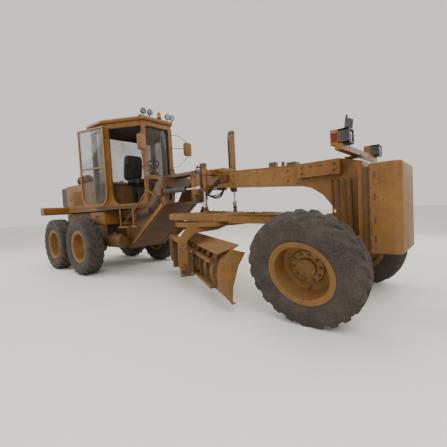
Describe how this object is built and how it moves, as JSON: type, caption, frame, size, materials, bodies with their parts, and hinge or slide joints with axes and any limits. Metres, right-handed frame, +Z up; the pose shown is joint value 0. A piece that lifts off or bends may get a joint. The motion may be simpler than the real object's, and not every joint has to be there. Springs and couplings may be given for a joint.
{
  "type": "motor grader",
  "caption": "Articulated road grader with leaning front wheels, tandem rear drive, turning blade under a gooseneck beam and a hexagonal cab with opening doors.",
  "frame": {"origin": "on the ground, in the middle of the machine's overall length and width", "axes": "+Y towards the rear of the machine, +X towards its left side, +Z up"},
  "size_m": [2.6636, 8.68, 3.47],
  "materials": {
    "yellow_paint": "worn satin",
    "dirty_paint": "dusty matt",
    "rusty_steel": "rusted",
    "tyre_rubber": "dusty matt",
    "black_parts": "satin",
    "bare_steel": "polished",
    "cab_glass": "clear"
  },
  "bodies": {
    "rear_half": {"rear_frame": "yellow_paint", "engine_hood": "yellow_paint", "engine_block": "black_parts", "radiator_housing": "black_parts", "rear_bumper": "yellow_paint", "air_cleaner": "rusty_steel", "tandem_drive": "yellow_paint", "air_tank": "dirty_paint", "battery_box": "yellow_paint", "boarding_step_left": "bare_steel", "boarding_step_right": "bare_steel", "cab_floor": "dirty_paint", "cab_shell": "yellow_paint", "cab_roof": "yellow_paint", "windscreen": "cab_glass", "wraparound_glass": "cab_glass", "operator_seat": "black_parts", "steering_console": "black_parts", "roof_lamps": "black_parts"},
    "front_half": {"front_frame": "yellow_paint", "push_block": "yellow_paint", "headlamp_bar": "yellow_paint", "front_axle": "yellow_paint"},
    "door_right": {"cab_door_right": "yellow_paint", "door_glass_right": "cab_glass"},
    "tandem_wheel_right_front": {"tyre_tandem_right_front": "tyre_rubber", "rim_tandem_right_front": "yellow_paint"},
    "tandem_wheel_right_rear": {"tyre_tandem_right_rear": "tyre_rubber", "rim_tandem_right_rear": "yellow_paint"},
    "door_left": {"cab_door_left": "yellow_paint", "door_glass_left": "cab_glass"},
    "tandem_wheel_left_front": {"tyre_tandem_left_front": "tyre_rubber", "rim_tandem_left_front": "yellow_paint"},
    "tandem_wheel_left_rear": {"tyre_tandem_left_rear": "tyre_rubber", "rim_tandem_left_rear": "yellow_paint"},
    "artic_barrel_right": {"artic_barrel_right": "black_parts"},
    "artic_rod_right": {"artic_rod_right": "bare_steel"},
    "artic_barrel_left": {"artic_barrel_left": "black_parts"},
    "artic_rod_left": {"artic_rod_left": "bare_steel"},
    "lean_bracket_right": {"wheel_lean_bracket_right": "yellow_paint"},
    "lean_bracket_left": {"wheel_lean_bracket_left": "yellow_paint"},
    "lean_bar": {"wheel_lean_bar": "dirty_paint"},
    "knuckle_right": {"steering_knuckle_right": "dirty_paint"},
    "front_wheel_right": {"tyre_front_right": "tyre_rubber", "rim_front_right": "yellow_paint"},
    "knuckle_left": {"steering_knuckle_left": "dirty_paint"},
    "front_wheel_left": {"tyre_front_left": "tyre_rubber", "rim_front_left": "yellow_paint"},
    "tie_rod": {"tie_rod": "bare_steel"},
    "drawbar_ball": {"drawbar_ball": "bare_steel"},
    "drawbar": {"drawbar": "yellow_paint"},
    "circle": {"circle": "yellow_paint"},
    "blade_carrier": {"blade_carrier": "yellow_paint"},
    "moldboard": {"moldboard": "yellow_paint"},
    "lift_barrel_right": {"lift_barrel_right": "yellow_paint"},
    "lift_rod_right": {"lift_rod_right": "bare_steel"},
    "lift_barrel_left": {"lift_barrel_left": "yellow_paint"},
    "lift_rod_left": {"lift_rod_left": "bare_steel"}
  },
  "joints": [
    {"name": "door_right_hinge", "type": "hinge", "parent": "rear_half", "child": "door_right", "pos_m": [-0.80949, 0.85639, 2.4], "axis": [0, 0, 1], "range_deg": [0, 195]},
    {"name": "tandem_roll_right_front", "type": "hinge", "parent": "rear_half", "child": "tandem_wheel_right_front", "pos_m": [-1.03, 1.74, 0.6365], "axis": [1, 0, 0], "continuous": true},
    {"name": "tandem_roll_right_rear", "type": "hinge", "parent": "rear_half", "child": "tandem_wheel_right_rear", "pos_m": [-1.03, 3.2, 0.6365], "axis": [1, 0, 0], "continuous": true},
    {"name": "door_left_hinge", "type": "hinge", "parent": "rear_half", "child": "door_left", "pos_m": [0.80949, 0.85639, 2.4], "axis": [0, 0, 1], "range_deg": [0, 195]},
    {"name": "tandem_roll_left_front", "type": "hinge", "parent": "rear_half", "child": "tandem_wheel_left_front", "pos_m": [1.03, 1.74, 0.6365], "axis": [1, 0, 0], "continuous": true},
    {"name": "tandem_roll_left_rear", "type": "hinge", "parent": "rear_half", "child": "tandem_wheel_left_rear", "pos_m": [1.03, 3.2, 0.6365], "axis": [1, 0, 0], "continuous": true},
    {"name": "articulation", "type": "hinge", "parent": "rear_half", "child": "front_half", "pos_m": [0, -0.99, 1.74], "axis": [0, 0, -1], "range_deg": [-20, 20]},
    {"name": "artic_barrel_right_swing", "type": "hinge", "parent": "rear_half", "child": "artic_barrel_right", "pos_m": [-0.42, -0.49, 1.7], "axis": [0, 0, 1], "range_deg": [-6.28, 6.28]},
    {"name": "artic_rod_right_slide", "type": "slide", "parent": "artic_barrel_right", "child": "artic_rod_right", "axis": [0.1915, -0.9815, 0], "range_m": [-0.1103, 0.1103]},
    {"name": "artic_barrel_left_swing", "type": "hinge", "parent": "rear_half", "child": "artic_barrel_left", "pos_m": [0.42, -0.49, 1.7], "axis": [0, 0, 1], "range_deg": [-6.28, 6.28]},
    {"name": "artic_rod_left_slide", "type": "slide", "parent": "artic_barrel_left", "child": "artic_rod_left", "axis": [-0.1915, -0.9815, 0], "range_m": [-0.1103, 0.1103]},
    {"name": "wheel_lean", "type": "hinge", "parent": "front_half", "child": "lean_bracket_right", "pos_m": [-0.69442, -3.54, 0.72353], "axis": [0, 1, 0], "range_deg": [-2.5, 33.5]},
    {"name": "wheel_lean_left", "type": "hinge", "parent": "front_half", "child": "lean_bracket_left", "pos_m": [0.69442, -3.54, 0.54716], "axis": [0, 1, 0], "range_deg": [-2.6, 33.6]},
    {"name": "lean_bar_pin", "type": "hinge", "parent": "lean_bracket_right", "child": "lean_bar", "pos_m": [-0.75722, -3.54, 0.94999], "axis": [0, 1, 0], "range_deg": [-33.6, 2.6]},
    {"name": "steering", "type": "hinge", "parent": "lean_bracket_right", "child": "knuckle_right", "pos_m": [-0.78115, -3.54, 0.69948], "axis": [-0.2672, 0, 0.9636], "range_deg": [-40, 40]},
    {"name": "front_roll_right", "type": "hinge", "parent": "knuckle_right", "child": "front_wheel_right", "pos_m": [-1.01242, -3.54, 0.63535], "axis": [0.9636, 0, 0.2672], "continuous": true},
    {"name": "steering_left", "type": "hinge", "parent": "lean_bracket_left", "child": "knuckle_left", "pos_m": [0.78115, -3.54, 0.57121], "axis": [-0.2672, 0, 0.9636], "range_deg": [-40.1, 40.1]},
    {"name": "front_roll_left", "type": "hinge", "parent": "knuckle_left", "child": "front_wheel_left", "pos_m": [1.01242, -3.54, 0.63535], "axis": [0.9636, 0, 0.2672], "continuous": true},
    {"name": "tie_rod_slide", "type": "slide", "parent": "front_half", "child": "tie_rod", "axis": [0.992, 0, -0.126], "range_m": [-0.152, 0.152]},
    {"name": "drawbar_swing", "type": "hinge", "parent": "front_half", "child": "drawbar_ball", "pos_m": [0, -3.28, 1.08], "axis": [0, 0, -1], "range_deg": [0, 14]},
    {"name": "drawbar_lift", "type": "hinge", "parent": "drawbar_ball", "child": "drawbar", "pos_m": [0, -3.28, 1.08], "axis": [1, 0, 0], "range_deg": [-8, 3]},
    {"name": "circle_turn", "type": "hinge", "parent": "drawbar", "child": "circle", "pos_m": [0, -1.33, 1.08], "axis": [0, 0, 1], "range_deg": [-117, 0]},
    {"name": "blade_tip", "type": "hinge", "parent": "circle", "child": "blade_carrier", "pos_m": [-0.57917, -0.97369, 0.42], "axis": [0.524, 0.8517, 0], "range_deg": [-5, 25]},
    {"name": "blade_shift", "type": "slide", "parent": "blade_carrier", "child": "moldboard", "axis": [0.524, 0.8517, 0], "range_m": [0, 0.75]},
    {"name": "lift_barrel_right_swing", "type": "hinge", "parent": "front_half", "child": "lift_barrel_right", "pos_m": [-0.4, -1.52, 1.94], "axis": [0, -1, 0], "range_deg": [-0.1, 33.7]},
    {"name": "lift_rod_right_slide", "type": "slide", "parent": "lift_barrel_right", "child": "lift_rod_right", "axis": [0, 0, 1], "range_m": [-0.2477, 0.0942]},
    {"name": "lift_barrel_left_swing", "type": "hinge", "parent": "front_half", "child": "lift_barrel_left", "pos_m": [0.4, -1.52, 1.94], "axis": [0, -1, 0], "range_deg": [-0.1, 33.7]},
    {"name": "lift_rod_left_slide", "type": "slide", "parent": "lift_barrel_left", "child": "lift_rod_left", "axis": [0, 0, 1], "range_m": [-0.2477, 0.0942]}
  ],
  "couplings": [
    {"joint": "artic_barrel_right_swing", "follows": "articulation", "ratio": -0.31136},
    {"joint": "artic_rod_right_slide", "follows": "articulation", "m_per_rad": -0.3142},
    {"joint": "artic_barrel_left_swing", "follows": "articulation", "ratio": -0.31136},
    {"joint": "artic_rod_left_slide", "follows": "articulation", "m_per_rad": 0.3142},
    {"joint": "wheel_lean_left", "follows": "wheel_lean", "ratio": 1},
    {"joint": "lean_bar_pin", "follows": "wheel_lean", "ratio": -1},
    {"joint": "steering_left", "follows": "steering", "ratio": 1},
    {"joint": "tie_rod_slide", "follows": "steering", "m_per_rad": -0.21637},
    {"joint": "lift_barrel_right_swing", "follows": "drawbar_swing", "ratio": 2.4},
    {"joint": "lift_rod_right_slide", "follows": "drawbar_lift", "m_per_rad": 1.76},
    {"joint": "lift_barrel_left_swing", "follows": "drawbar_swing", "ratio": 2.4},
    {"joint": "lift_rod_left_slide", "follows": "drawbar_lift", "m_per_rad": 1.76}
  ]
}
